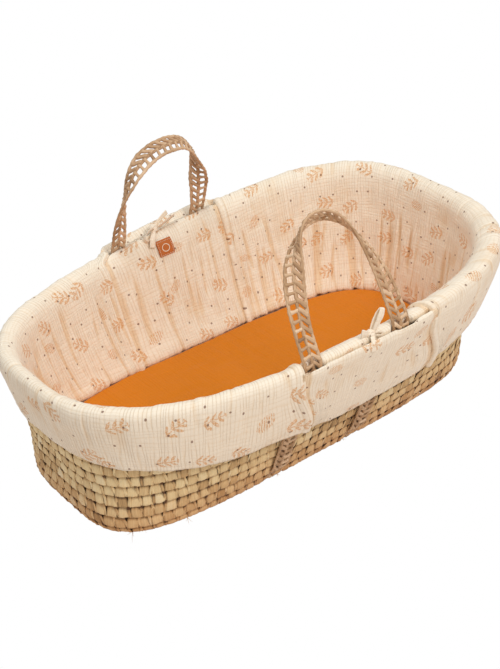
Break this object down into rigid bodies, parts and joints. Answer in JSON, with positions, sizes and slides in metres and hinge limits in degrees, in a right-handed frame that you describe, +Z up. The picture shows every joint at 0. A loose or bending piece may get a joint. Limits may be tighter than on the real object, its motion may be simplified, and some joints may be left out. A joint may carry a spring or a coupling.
{
  "type": "moses basket",
  "caption": "Plaited palm-leaf moses basket with two carrying handles, a padded muslin liner tied with bows, a foam mattress and a fitted sheet.",
  "frame": {"origin": "middle of the underside, on the floor", "axes": "+X along the basket to the head end, +Y to the far side with the label, +Z up"},
  "size_m": [0.8414, 0.509, 0.4354],
  "materials": {
    "palm": "matte plaited leaf",
    "palm_strap": "matte plaited leaf",
    "muslin": "crinkled cotton muslin with a small print",
    "ribbon": "crinkled cotton muslin",
    "label": "smooth matte",
    "foam": "matte foam in a cotton cover",
    "sheet_muslin": "crinkled cotton muslin"
  },
  "bodies": {
    "basket": {"base_mat": "palm", "wall_course_01": "palm", "wall_course_02": "palm", "wall_course_03": "palm", "wall_course_04": "palm", "wall_course_05": "palm", "wall_course_06": "palm", "wall_course_07": "palm", "wall_course_08": "palm", "wall_course_09": "palm", "wall_course_10": "palm", "wall_course_11": "palm", "rim_binding": "palm", "strap_foot": "palm_strap", "strap_head": "palm_strap", "liner_foot": "muslin", "liner_head": "muslin", "liner_near_inner": "muslin", "liner_near_outer": "muslin", "liner_far_inner": "muslin", "liner_far_outer": "muslin", "bow_near": "ribbon", "bow_far": "ribbon", "label_tag": "label"},
    "handle_near": {"handle_near": "palm_strap"},
    "handle_far": {"handle_far": "palm_strap"},
    "mattress": {"mattress": "foam", "fitted_sheet": "sheet_muslin"}
  },
  "joints": [
    {"name": "handle_near_swing", "type": "hinge", "parent": "basket", "child": "handle_near", "pos_m": [-0.0085, -0.23478, 0.2641], "axis": [-0.996, 0.0653, -0.0607], "range_deg": [-134, 70]},
    {"name": "handle_far_swing", "type": "hinge", "parent": "basket", "child": "handle_far", "pos_m": [-0.0125, 0.2344, 0.26392], "axis": [0.996, 0.0666, 0.0599], "range_deg": [-114, 90]},
    {"name": "mattress_lift", "type": "slide", "parent": "basket", "child": "mattress", "axis": [0, 0, 1], "range_m": [0, 0.3]}
  ]
}
